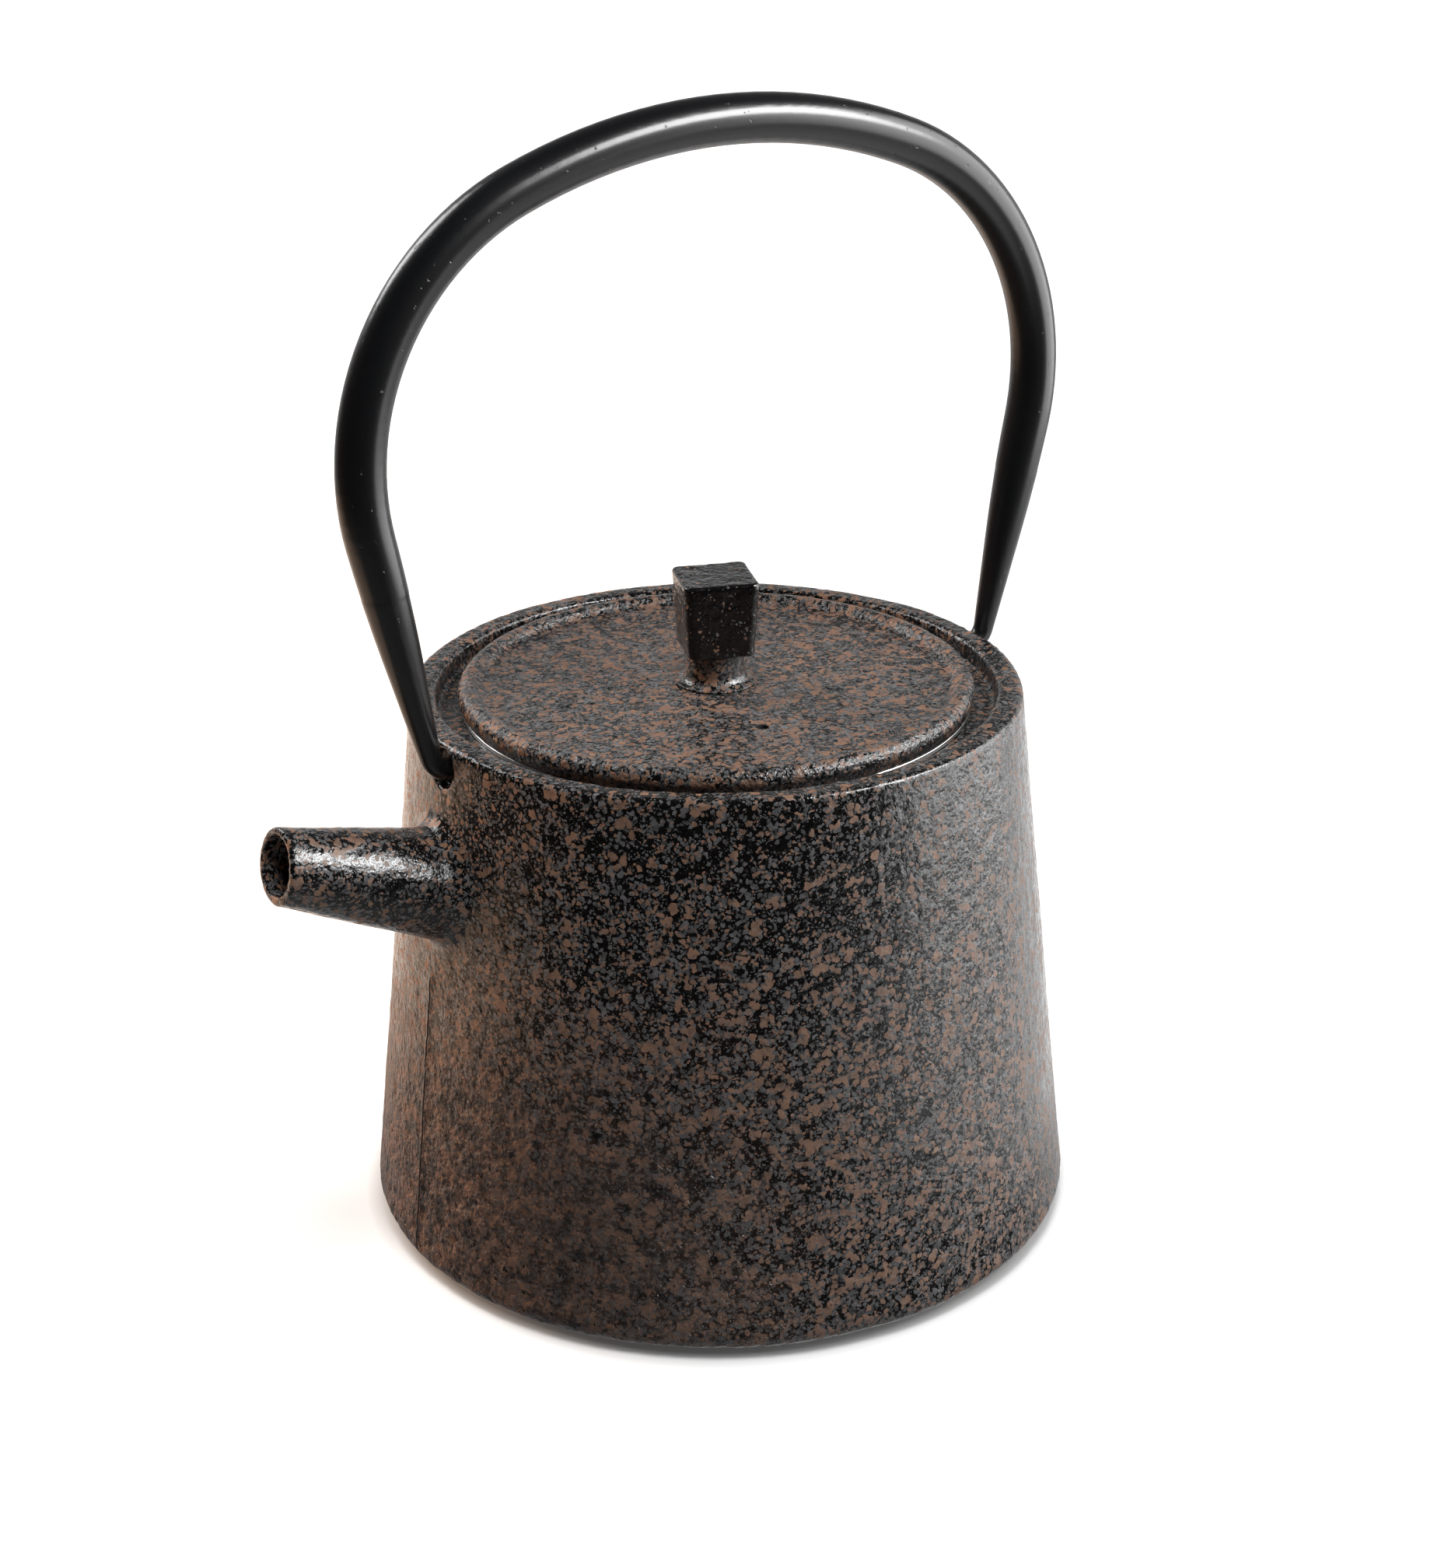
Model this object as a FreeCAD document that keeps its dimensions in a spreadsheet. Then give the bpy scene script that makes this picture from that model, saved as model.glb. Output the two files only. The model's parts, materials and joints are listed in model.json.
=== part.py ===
import FreeCAD, Part
import math
import os
import re
import Sketcher
from FreeCAD import Placement, Rotation, Vector

# A cast-iron teapot with a straight spout, a lift-off lid, a drop-in infuser
# and a bail handle that swings on two hooked ends.
# +X points along the spout, +Z up; the origin is the centre of the base on the table.

doc = FreeCAD.newDocument("teapot")

# Driving dimensions: millimetres, and degrees for the names ending in _angle.
SIZES = {
    # cast pot
    "foot_radius": 66.0,
    "foot_height": 1.5,
    "base_radius": 72.0,
    "base_corner": 3.4,
    "rim_radius": 60.0,
    "rim_height": 110.0,
    "rim_width": 5.2,
    "rim_round": 1.0,
    "wall": 4.0,
    "floor_height": 6.0,
    "ledge_height": 106.0,
    "ledge_radius": 46.5,
    "ledge_thickness": 3.5,
    "undercut_height": 93.0,
    "seam_width": 0.6,
    "seam_proud": 0.25,
    "seam_bottom": 6.0,
    "front_seam_length": 58.0,
    "back_seam_length": 92.0,
    # spout
    "spout_angle": 20.3,
    "spout_reach": 95.2,
    "spout_tip_height": 94.1,
    "spout_length": 45.0,
    "spout_blank": 47.0,
    "spout_root_radius": 11.8,
    "spout_end_radius": 7.1,
    "spout_root_round": 3.5,
    "spout_lip_angle": 11.0,
    "spout_trim": 30.0,
    "passage_root_radius": 7.0,
    "passage_end_radius": 5.5,
    "lip_round": 0.7,
    # sockets for the handle's hooked ends
    "pivot_height": 104.8,
    "socket_radius": 3.8,
    "socket_height": 105.2,
    "socket_floor": 58.5,
    "bore_radius": 2.17,
    "bore_floor": 55.8,
    "bore_length": 8.0,
    # lid
    "lid_top": 110.0,
    "lid_seat": 106.85,
    "lid_disc_radius": 50.2,
    "lid_roll_centre": 48.4,
    "lid_roll_radius": 2.3,
    "lid_roll_height": 109.2,
    "lid_trough_round": 1.2,
    "spigot_radius": 43.3,
    "spigot_width": 3.0,
    "spigot_depth": 5.5,
    "vent_radius": 1.1,
    "vent_offset": 25.7,
    "vent_angle": 77.2,
    # knob and what holds it
    "knob_turn_angle": 69.7,
    "knob_bottom": 116.6,
    "knob_top": 131.8,
    "knob_bottom_width": 13.3,
    "knob_top_width": 14.9,
    "knob_corner_round": 1.6,
    "knob_edge_round": 0.7,
    "neck_radius": 5.85,
    "neck_foot_radius": 8.1,
    "neck_foot_height": 0.5,
    "neck_round": 2.1,
    "screw_radius": 2.0,
    "screw_hole_radius": 2.1,
    "screw_top": 119.0,
    "screw_hole_top": 120.0,
    "screw_head_radius": 3.8,
    "screw_head_height": 2.4,
    "screw_head_round": 0.8,
    "screw_slot_width": 1.0,
    "screw_slot_depth": 1.1,
    "washer_radius": 6.0,
    "washer_thickness": 1.0,
    # infuser
    "infuser_seat": 106.05,
    "flange_radius": 50.0,
    "flange_round": 0.32,
    "sheet_thickness": 0.8,
    "collar_radius": 45.4,
    "collar_depth": 9.0,
    "basket_top_radius": 44.5,
    "basket_bottom_radius": 42.6,
    "basket_wall": 0.5,
    "basket_top": 105.0,
    "basket_bottom": 57.0,
    "floor_lip": 3.0,
    "floor_fit": 0.02,
    "wall_hole_radius": 1.3,
    "wall_hole_pitch": 5.2,
    "wall_hole_lowest": 63.0,
    "floor_hole_radius": 1.2,
    "floor_hole_pitch": 7.0,
    # bail handle, drawn upright about the pivot
    "bail_shift": -1.6,
    "bail_top": 218.2,
    "crown_radius": 115.5,
    "crown_angle": 21.5,
    "shoulder_radius": 51.7,
    "leg_angle": 12.3,
    "tube_radius": 4.62,
    "tube_wall": 1.0,
    "taper_top": 141.0,
    "tube_end": 118.0,
    "tube_end_radius": 2.86,
    "hook_radius": 4.0,
    "pin_radius": 2.1,
    "pin_floor": 56.1,
    "stem_radius": 1.5,
    "stem_bore_radius": 1.55,
    "stem_bore_length": 14.0,
    "stem_length": 13.0,
    # how far a cut runs past what it cuts, and a joined piece into its neighbour
    "cut_spare": 1.0,
    "overlap": 1.0,
}

# Edges and points closer than this, in millimetres, count as being in the same place.
CLOSE = 0.02

WALL_HOLE_ROWS = 7
WALL_HOLE_COLUMNS = 16
FLOOR_HOLE_RINGS = 5
FLOOR_HOLE_SPOKES = 12

sheet = doc.addObject("Spreadsheet::Sheet", "Sizes")
for line, (alias, size) in enumerate(SIZES.items(), start=1):
    sheet.set("A%d" % line, alias)
    sheet.set("B%d" % line, str(size))
    sheet.setAlias("B%d" % line, alias)
doc.recompute()


def sized(expression):
    """The same expression with every driving dimension looked up in the sheet."""
    def lookup(word):
        return "Sizes." + word.group() if word.group() in SIZES else word.group()
    return re.sub("[a-z_]+", lookup, expression)


def bind(item, **properties):
    """Tie an object's properties to expressions; a double underscore stands for a dot."""
    for name, expression in properties.items():
        item.setExpression(name.replace("__", "."), sized(expression))


def place(item, x="0", y="0", z="0", turn_axis=None, turn="0"):
    """Put an object at an expression-driven point, turned about one axis."""
    if turn_axis is not None:
        item.Placement = Placement(Vector(), Rotation(turn_axis, 1.0))
        item.setExpression("Placement.Rotation.Angle", sized(turn))
    bind(item, Placement__Base__x=x, Placement__Base__y=y, Placement__Base__z=z)


def new_body(name):
    body = doc.addObject("PartDesign::Body", name)
    body.Label = name
    return body


def new_sketch(body, name, role, height=None):
    """A sketch on one of the body's own origin planes, optionally raised above it."""
    sketch = body.newObject("Sketcher::SketchObject", name)
    plane = next(item for item in body.Origin.OriginFeatures if item.Role == role)
    sketch.AttachmentSupport = (plane, [""])
    sketch.MapMode = "FlatFace"
    if height is not None:
        bind(sketch, AttachmentOffset__Base__z=height)
    return sketch


def pin_point(sketch, geometry, end, x, y):
    """Fix one point of the sketch at two expressions measured from its origin."""
    for kind, expression in (("DistanceX", x), ("DistanceY", y)):
        number = sketch.addConstraint(Sketcher.Constraint(kind, geometry, end, 1.0))
        sketch.setExpression("Constraints[%d]" % number, sized(expression))


def outline(sketch, corners):
    """A closed outline of straight lines through corners given as pairs of expressions."""
    count = len(corners)
    ring = []
    for step in range(count):
        turn = 2.0 * math.pi * step / count
        ring.append(Vector(math.cos(turn), math.sin(turn), 0.0))
    first = sketch.GeometryCount
    for step in range(count):
        sketch.addGeometry(Part.LineSegment(ring[step], ring[(step + 1) % count]), False)
    for step in range(count):
        following = first + (step + 1) % count
        sketch.addConstraint(Sketcher.Constraint("Coincident", first + step, 2, following, 1))
    for step, (x, y) in enumerate(corners):
        pin_point(sketch, first + step, 1, x, y)


def circle(sketch, radius, x="0", y="0"):
    """A circle whose radius and centre are expressions."""
    number = sketch.addGeometry(Part.Circle(Vector(), Vector(0, 0, 1), 1.0), False)
    pin_point(sketch, number, 3, x, y)
    size = sketch.addConstraint(Sketcher.Constraint("Radius", number, 1.0))
    sketch.setExpression("Constraints[%d]" % size, sized(radius))


def turned(body, kind, name, corners):
    """A Revolution or Groove about the upright axis from an outline in radius and height."""
    sketch = new_sketch(body, name + "_outline", "YZ_Plane")
    outline(sketch, corners)
    feature = body.newObject("PartDesign::" + kind, name)
    feature.Profile = sketch
    feature.ReferenceAxis = (sketch, ["V_Axis"])
    feature.Angle = 360.0
    sketch.Visibility = False
    return feature


def solid(body, kind, name, **properties):
    """An additive or subtractive primitive with its sizes bound to expressions."""
    feature = body.newObject("PartDesign::" + kind, name)
    bind(feature, **properties)
    return feature


def fillet(body, name, radius, wanted):
    """Round every edge of the body's present shape for which wanted(edge) is true."""
    doc.recompute()
    base = body.Tip
    edges = []
    for number, edge in enumerate(base.Shape.Edges, start=1):
        if wanted(edge):
            edges.append("Edge%d" % number)
    if not edges:
        raise RuntimeError("no edge found for " + name)
    feature = body.newObject("PartDesign::Fillet", name)
    feature.Base = (base, edges)
    bind(feature, Radius=radius)
    return feature


def round_edge(radius, height):
    """A test for a full circle about the upright axis with this radius and height."""
    def wanted(edge):
        curve = edge.Curve
        if not isinstance(curve, Part.Circle):
            return False
        right_radius = abs(curve.Radius - radius) < CLOSE
        right_height = abs(curve.Center.z - height) < CLOSE
        centred = math.hypot(curve.Center.x, curve.Center.y) < CLOSE
        return right_radius and right_height and centred
    return wanted


def make_kettle_body():
    body = new_body("kettle_body")
    turned(body, "Revolution", "pot_blank", [
        ("0", "0"),
        ("foot_radius", "0"),
        ("foot_radius", "foot_height"),
        ("base_radius", "foot_height"),
        ("rim_radius", "rim_height"),
        ("0", "rim_height"),
    ])
    fillet(body, "base_edge", "base_corner", round_edge(SIZES["base_radius"], SIZES["foot_height"]))
    fillet(body, "rim_edge", "rim_round", round_edge(SIZES["rim_radius"], SIZES["rim_height"]))
    make_seam(body)
    make_spout(body)
    wall_slope = "(base_radius - rim_radius) / (rim_height - foot_height)"
    turned(body, "Groove", "pot_inside", [
        ("0", "floor_height"),
        ("base_radius - wall - (floor_height - foot_height) * %s" % wall_slope, "floor_height"),
        ("rim_radius - wall + (rim_height - undercut_height) * %s" % wall_slope, "undercut_height"),
        ("ledge_radius", "ledge_height - ledge_thickness"),
        ("ledge_radius", "ledge_height"),
        ("rim_radius - rim_width", "ledge_height"),
        ("rim_radius - rim_width", "rim_height + cut_spare"),
        ("0", "rim_height + cut_spare"),
    ])
    inner_rim = SIZES["rim_radius"] - SIZES["rim_width"]
    fillet(body, "inner_rim_edge", "rim_round", round_edge(inner_rim, SIZES["rim_height"]))
    make_passage(body)
    make_sockets(body)
    return body


def make_seam(body):
    """The fine raised line that the mould's joint leaves below the spout and at the back."""
    lean = "atan((base_radius - rim_radius) / (rim_height - foot_height))"
    foot_x = "base_radius - (seam_bottom - foot_height) * tan(%s)" % lean
    front = solid(body, "AdditiveBox", "front_seam",
                  Length="2 * seam_proud", Width="seam_width", Height="front_seam_length")
    place(front, x=foot_x + " - seam_proud", y="- seam_width / 2", z="seam_bottom",
          turn_axis=Vector(0, 1, 0), turn="- " + lean)
    back = solid(body, "AdditiveBox", "back_seam",
                 Length="2 * seam_proud", Width="seam_width", Height="back_seam_length")
    place(back, x="- (%s) - seam_proud" % foot_x, y="- seam_width / 2", z="seam_bottom",
          turn_axis=Vector(0, 1, 0), turn=lean)


def make_spout(body):
    """A straight tapering spout, its end cut steeper than square to its axis."""
    cone = solid(body, "AdditiveCone", "spout_blank_cone",
                 Radius1="spout_root_radius", Radius2="spout_end_radius", Height="spout_blank")
    place(cone,
          x="spout_reach - spout_length * cos(spout_angle)",
          z="spout_tip_height - spout_length * sin(spout_angle)",
          turn_axis=Vector(0, 1, 0), turn="90 - spout_angle")
    cut = solid(body, "SubtractiveBox", "spout_end_cut",
                Length="spout_trim", Width="spout_trim", Height="spout_trim")
    place(cut,
          x="spout_reach + spout_trim / 2 * sin(spout_lip_angle)",
          y="- spout_trim / 2",
          z="spout_tip_height - spout_trim / 2 * cos(spout_lip_angle)",
          turn_axis=Vector(0, 1, 0), turn="- spout_lip_angle")

    def at_root(edge):
        box = edge.BoundBox
        wide = SIZES["spout_end_radius"] < box.YLength < SIZES["rim_radius"]
        on_wall = SIZES["rim_radius"] < box.Center.x < SIZES["base_radius"]
        above_seam = box.Center.z > SIZES["seam_bottom"] + SIZES["front_seam_length"]
        return wide and on_wall and above_seam

    def at_tip(edge):
        return edge.BoundBox.XMin > SIZES["spout_reach"] - SIZES["spout_end_radius"]

    fillet(body, "spout_root", "spout_root_round", at_root)
    fillet(body, "spout_lip", "lip_round", at_tip)


def make_passage(body):
    """The spout's bore, from inside the pot out through the tip."""
    passage = solid(body, "SubtractiveCone", "spout_passage",
                    Radius1="passage_root_radius", Radius2="passage_end_radius",
                    Height="spout_blank")
    place(passage,
          x="spout_reach - spout_length * cos(spout_angle)",
          z="spout_tip_height - spout_length * sin(spout_angle)",
          turn_axis=Vector(0, 1, 0), turn="90 - spout_angle")


def make_sockets(body):
    """Under the rim at front and back: a scooped recess with a blind bore in its floor."""
    for side, start_angle in (("front", "90"), ("back", "-90")):
        sign = "" if side == "front" else "- "
        recess = solid(body, "SubtractiveCylinder", side + "_recess",
                       Radius="socket_radius", Height="bore_length")
        place(recess, x=sign + "socket_floor", z="socket_height",
              turn_axis=Vector(0, 1, 0), turn=start_angle)
        bore = solid(body, "SubtractiveCylinder", side + "_bore",
                     Radius="bore_radius", Height="bore_length")
        place(bore, x=sign + "bore_floor", z="pivot_height",
              turn_axis=Vector(0, 1, 0), turn=start_angle)


def make_lid():
    body = new_body("lid")
    turned(body, "Revolution", "lid_disc", [
        ("0", "lid_top"),
        ("0", "lid_seat"),
        ("spigot_radius - spigot_width", "lid_seat"),
        ("spigot_radius - spigot_width", "lid_seat - spigot_depth"),
        ("spigot_radius", "lid_seat - spigot_depth"),
        ("spigot_radius", "lid_seat"),
        ("lid_disc_radius", "lid_seat"),
        ("lid_disc_radius", "lid_top"),
    ])
    roll = solid(body, "AdditiveTorus", "lid_roll",
                 Radius1="lid_roll_centre", Radius2="lid_roll_radius")
    place(roll, z="lid_roll_height")
    rise = SIZES["lid_top"] - SIZES["lid_roll_height"]
    inner_edge = SIZES["lid_roll_centre"] - math.sqrt(SIZES["lid_roll_radius"] ** 2 - rise ** 2)
    fillet(body, "lid_trough", "lid_trough_round", round_edge(inner_edge, SIZES["lid_top"]))
    under_disc = "lid_seat - cut_spare"
    right_through = "lid_top - lid_seat + 2 * cut_spare"
    vent = solid(body, "SubtractiveCylinder", "vent", Radius="vent_radius", Height=right_through)
    place(vent, x="vent_offset * cos(vent_angle)", y="vent_offset * sin(vent_angle)",
          z=under_disc)
    screw_hole = solid(body, "SubtractiveCylinder", "screw_hole",
                       Radius="screw_hole_radius", Height=right_through)
    place(screw_hole, z=under_disc)
    return body


def make_knob():
    """A tapering block on a round flared neck, tapped from below for its screw."""
    body = new_body("lid_knob")
    sketch = new_sketch(body, "block_bottom", "XY_Plane", height="knob_bottom")
    half = "knob_bottom_width / 2"
    outline(sketch, [("-" + half, "-" + half), (half, "-" + half), (half, half),
                     ("-" + half, half)])
    block = body.newObject("PartDesign::Pad", "block")
    block.Profile = sketch
    bind(block, Length="knob_top - knob_bottom",
         TaperAngle="atan((knob_top_width - knob_bottom_width) / 2 / (knob_top - knob_bottom))")

    def upright(edge):
        return edge.BoundBox.ZLength > SIZES["knob_corner_round"]

    def level(edge):
        return edge.BoundBox.ZLength < CLOSE

    fillet(body, "block_corners", "knob_corner_round", upright)
    fillet(body, "block_edges", "knob_edge_round", level)
    neck = solid(body, "AdditiveCylinder", "neck",
                 Radius="neck_radius", Height="knob_bottom - lid_top + overlap")
    place(neck, z="lid_top")
    foot = solid(body, "AdditiveCylinder", "neck_foot",
                 Radius="neck_foot_radius", Height="neck_foot_height")
    place(foot, z="lid_top")
    flare_height = SIZES["lid_top"] + SIZES["neck_foot_height"]
    fillet(body, "neck_flare", "neck_round", round_edge(SIZES["neck_radius"], flare_height))
    hole = solid(body, "SubtractiveCylinder", "tapped_hole",
                 Radius="screw_hole_radius", Height="screw_hole_top - lid_top")
    place(hole, z="lid_top")
    place(body, turn_axis=Vector(0, 0, 1), turn="knob_turn_angle")
    return body


def make_knob_screw():
    body = new_body("knob_screw")
    head_top = "lid_seat - washer_thickness"
    head = solid(body, "AdditiveCylinder", "head",
                 Radius="screw_head_radius", Height="screw_head_height")
    place(head, z=head_top + " - screw_head_height")
    shank = solid(body, "AdditiveCylinder", "shank", Radius="screw_radius",
                  Height="screw_top - (%s) + overlap" % head_top)
    place(shank, z=head_top + " - overlap")
    head_bottom = SIZES["lid_seat"] - SIZES["washer_thickness"] - SIZES["screw_head_height"]
    fillet(body, "head_edge", "screw_head_round",
           round_edge(SIZES["screw_head_radius"], head_bottom))
    slot = solid(body, "SubtractiveBox", "slot", Length="2 * (screw_head_radius + cut_spare)",
                 Width="screw_slot_width", Height="screw_slot_depth")
    place(slot, x="- screw_head_radius - cut_spare", y="- screw_slot_width / 2",
          z=head_top + " - screw_head_height")
    return body


def make_knob_washer():
    body = new_body("knob_washer")
    sketch = new_sketch(body, "ring", "XY_Plane", height="lid_seat - washer_thickness")
    circle(sketch, "washer_radius")
    circle(sketch, "screw_hole_radius")
    pad = body.newObject("PartDesign::Pad", "plate")
    pad.Profile = sketch
    bind(pad, Length="washer_thickness")
    return body


def make_infuser_collar():
    """The bright ring that hangs the infuser on the pot's ledge."""
    body = new_body("infuser_collar")
    turned(body, "Revolution", "collar_sheet", [
        ("flange_radius", "infuser_seat"),
        ("flange_radius", "infuser_seat + sheet_thickness"),
        ("collar_radius - sheet_thickness", "infuser_seat + sheet_thickness"),
        ("collar_radius - sheet_thickness", "infuser_seat - collar_depth"),
        ("collar_radius", "infuser_seat - collar_depth"),
        ("collar_radius", "infuser_seat"),
    ])
    flange_top = SIZES["infuser_seat"] + SIZES["sheet_thickness"]
    fillet(body, "flange_edge", "flange_round",
           round_edge(SIZES["flange_radius"], flange_top))
    return body


def make_infuser_basket():
    """The perforated side of the infuser: columns of holes repeated around a tapering shell."""
    body = new_body("infuser_basket")
    turned(body, "Revolution", "basket_sheet", [
        ("basket_top_radius", "basket_top"),
        ("basket_top_radius - basket_wall", "basket_top"),
        ("basket_bottom_radius - basket_wall", "basket_bottom"),
        ("basket_bottom_radius", "basket_bottom"),
    ])
    sketch = new_sketch(body, "hole_column", "XZ_Plane")
    for row in range(WALL_HOLE_ROWS):
        circle(sketch, "wall_hole_radius", "0", "wall_hole_lowest + %d * wall_hole_pitch" % row)
    holes = body.newObject("PartDesign::Pocket", "hole_column_cut")
    holes.Profile = sketch
    holes.Type = "Length"
    bind(holes, Length="basket_top_radius + cut_spare")
    repeat_around(body, holes, "basket_holes", WALL_HOLE_COLUMNS)
    return body


def repeat_around(body, feature, name, count):
    """Repeat a cut evenly about the body's upright axis."""
    doc.recompute()
    pattern = body.newObject("PartDesign::PolarPattern", name)
    pattern.Originals = [feature]
    axis = next(item for item in body.Origin.OriginFeatures if item.Role == "Z_Axis")
    pattern.Axis = (axis, [""])
    pattern.Angle = 360.0
    pattern.Occurrences = count
    body.Tip = pattern
    return pattern


def make_infuser_floor():
    """The infuser's perforated bottom, a shallow dish let into the end of the side wall."""
    body = new_body("infuser_floor")
    outside = "basket_bottom_radius - basket_wall - floor_fit"
    turned(body, "Revolution", "floor_sheet", [
        ("0", "basket_bottom"),
        (outside, "basket_bottom"),
        (outside, "basket_bottom + floor_lip"),
        (outside + " - basket_wall", "basket_bottom + floor_lip"),
        (outside + " - basket_wall", "basket_bottom + basket_wall"),
        ("0", "basket_bottom + basket_wall"),
    ])
    sketch = new_sketch(body, "hole_spoke", "XY_Plane", height="basket_bottom + basket_wall + cut_spare")
    for ring in range(1, FLOOR_HOLE_RINGS + 1):
        circle(sketch, "floor_hole_radius", "%d * floor_hole_pitch" % ring)
    holes = body.newObject("PartDesign::Pocket", "hole_spoke_cut")
    holes.Profile = sketch
    holes.Type = "Length"
    bind(holes, Length="basket_wall + 2 * cut_spare")
    repeat_around(body, holes, "floor_holes", FLOOR_HOLE_SPOKES)
    return body


# Where the bail's centre line runs, as expressions in the upright plane through the pivots.
SHOULDER_END_X = ("(crown_radius - shoulder_radius) * sin(crown_angle)"
                  " + shoulder_radius * cos(leg_angle)")
SHOULDER_END_Z = ("bail_top - crown_radius"
                  " + (crown_radius - shoulder_radius) * cos(crown_angle)"
                  " - shoulder_radius * sin(leg_angle)")


def leg_x(height):
    """The leg's centre line at a height, as an expression."""
    return "%s - (%s - %s) * tan(leg_angle)" % (SHOULDER_END_X, SHOULDER_END_Z, height)


HOOK_TOP_Z = "(pivot_height + hook_radius * (1 - sin(leg_angle)))"
HOOK_CENTRE_X = "%s - hook_radius * cos(leg_angle)" % leg_x(HOOK_TOP_Z)


def bail_spine(body, name):
    """The handle's centre line: a crown, two shoulders and the straight tops of two legs."""
    crown = SIZES["crown_radius"]
    shoulder = SIZES["shoulder_radius"]
    half = math.radians(SIZES["crown_angle"])
    lean = math.radians(SIZES["leg_angle"])
    up = Vector(0, 0, 1)
    upright = math.pi / 2.0
    crown_centre = Vector(0, SIZES["bail_top"] - crown, 0)
    sketch = new_sketch(body, name, "XZ_Plane")
    arc = Part.ArcOfCircle(Part.Circle(crown_centre, up, crown), upright - half, upright + half)
    sketch.addGeometry(arc, False)
    drive = [
        (("DistanceX", 0, 3, 0.0), "0"),
        (("DistanceY", 0, 3, crown_centre.y), "bail_top - crown_radius"),
        (("Radius", 0, crown), "crown_radius"),
    ]
    for side, sign, crown_end in ((1.0, "", 1), (-1.0, "-", 2)):
        reach = crown - shoulder
        centre = crown_centre + Vector(side * reach * math.sin(half), reach * math.cos(half), 0)
        foot = centre + Vector(side * shoulder * math.cos(lean), -shoulder * math.sin(lean), 0)
        drop = foot.y - SIZES["taper_top"]
        leg_end = foot - Vector(side * drop * math.tan(lean), drop, 0)
        if side > 0.0:
            angles = (-lean, upright - half)
        else:
            angles = (upright + half, math.pi + lean)
        bend = sketch.addGeometry(Part.ArcOfCircle(Part.Circle(centre, up, shoulder), *angles), False)
        leg = sketch.addGeometry(Part.LineSegment(foot, leg_end), False)
        bend_top, bend_foot = (2, 1) if side > 0.0 else (1, 2)
        sketch.addConstraint(Sketcher.Constraint("Tangent", 0, crown_end, bend, bend_top))
        sketch.addConstraint(Sketcher.Constraint("Tangent", bend, bend_foot, leg, 1))
        junction = side * crown * math.sin(half)
        drive += [
            (("Radius", bend, shoulder), "shoulder_radius"),
            (("DistanceX", 0, crown_end, junction), sign + "crown_radius * sin(crown_angle)"),
            (("DistanceX", leg, 2, leg_end.x), "%s(%s)" % (sign, leg_x("taper_top"))),
            (("DistanceY", leg, 2, leg_end.y), "taper_top"),
        ]
    for constraint, expression in drive:
        number = sketch.addConstraint(Sketcher.Constraint(*constraint))
        sketch.setExpression("Constraints[%d]" % number, sized(expression))
    return sketch


def bail_pipe(body, kind, name, radius):
    """Sweep a circle of this radius along the handle's centre line, from one leg's end."""
    spine = bail_spine(body, name + "_line")
    ring = new_sketch(body, name + "_ring", "XY_Plane")
    ring.AttachmentOffset = Placement(Vector(), Rotation(Vector(0, 1, 0), 1.0))
    bind(ring, AttachmentOffset__Base__x=leg_x("taper_top"), AttachmentOffset__Base__z="taper_top",
         AttachmentOffset__Rotation__Angle="leg_angle")
    circle(ring, radius)
    pipe = body.newObject("PartDesign::" + kind, name)
    pipe.Profile = ring
    pipe.Spine = (spine, [])


def leg_solid(body, kind, name, start, **properties):
    """A round primitive running down each leg's centre line from a height."""
    for side, sign, turn in (("front", "", "180 + leg_angle"), ("back", "-", "180 - leg_angle")):
        feature = solid(body, kind, name + "_" + side, **properties)
        place(feature, x="%s(%s)" % (sign, leg_x(start)), z=start,
              turn_axis=Vector(0, 1, 0), turn=turn)


def make_bail_tube():
    """A bent tube whose legs are drawn down to a narrow end around each hook."""
    body = new_body("bail_tube")
    grip = "(tube_end + stem_bore_length * cos(leg_angle))"
    bail_pipe(body, "AdditivePipe", "tube", "tube_radius")
    leg_solid(body, "AdditiveCone", "taper", "taper_top", Radius1="tube_radius",
              Radius2="tube_end_radius", Height="(taper_top - tube_end) / cos(leg_angle)")
    bail_pipe(body, "SubtractivePipe", "tube_bore", "tube_radius - tube_wall")
    leg_solid(body, "SubtractiveCone", "taper_bore", "taper_top",
              Radius1="tube_radius - tube_wall", Radius2="stem_bore_radius",
              Height="(taper_top - %s) / cos(leg_angle)" % grip)
    leg_solid(body, "SubtractiveCylinder", "stem_bore", grip,
              Radius="stem_bore_radius", Height="stem_bore_length + cut_spare")
    place(body, x="bail_shift")
    return body


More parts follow.
